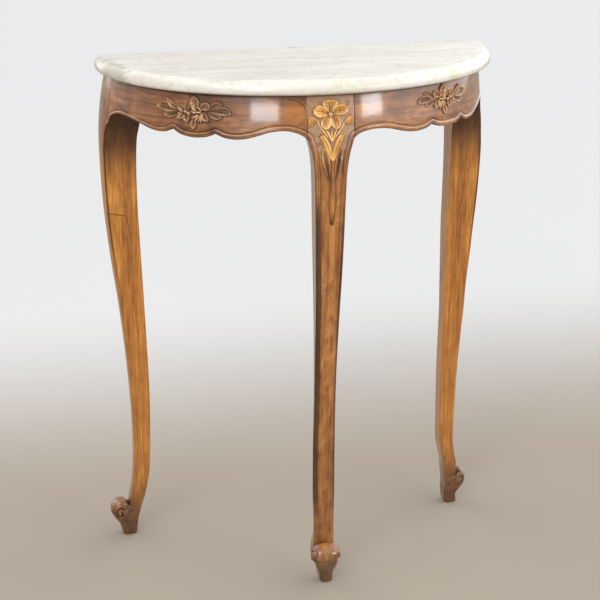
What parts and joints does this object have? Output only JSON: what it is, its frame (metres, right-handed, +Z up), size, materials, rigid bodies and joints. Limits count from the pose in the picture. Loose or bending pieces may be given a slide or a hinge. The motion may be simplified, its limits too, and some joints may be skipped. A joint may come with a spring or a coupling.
{
  "type": "half-round pier table",
  "caption": "Half-round wall table with a moulded marble slab on a scalloped, carved apron and three cabriole legs with scroll feet.",
  "frame": {"origin": "middle of the bounding box's footprint, on the floor", "axes": "+X along the wall, +Y into the wall, +Z up; the curved front faces -Y"},
  "size_m": [0.6, 0.26, 0.78],
  "materials": {
    "marble": "polished",
    "polished_walnut": "gloss varnish",
    "bare_beech": "sawn and planed, unfinished",
    "dowel_beech": "turned, unfinished",
    "screw_steel": "plain"
  },
  "bodies": {
    "root": {"marble_top": "marble", "front_leg": "polished_walnut", "left_leg": "polished_walnut", "right_leg": "polished_walnut", "left_apron": "polished_walnut", "right_apron": "polished_walnut", "back_rail": "bare_beech", "centre_bearer": "bare_beech", "rear_left_block": "bare_beech", "rear_right_block": "bare_beech", "front_left_block": "bare_beech", "front_right_block": "bare_beech", "joint_dowels": "dowel_beech", "block_screws": "screw_steel"}
  },
  "joints": []
}
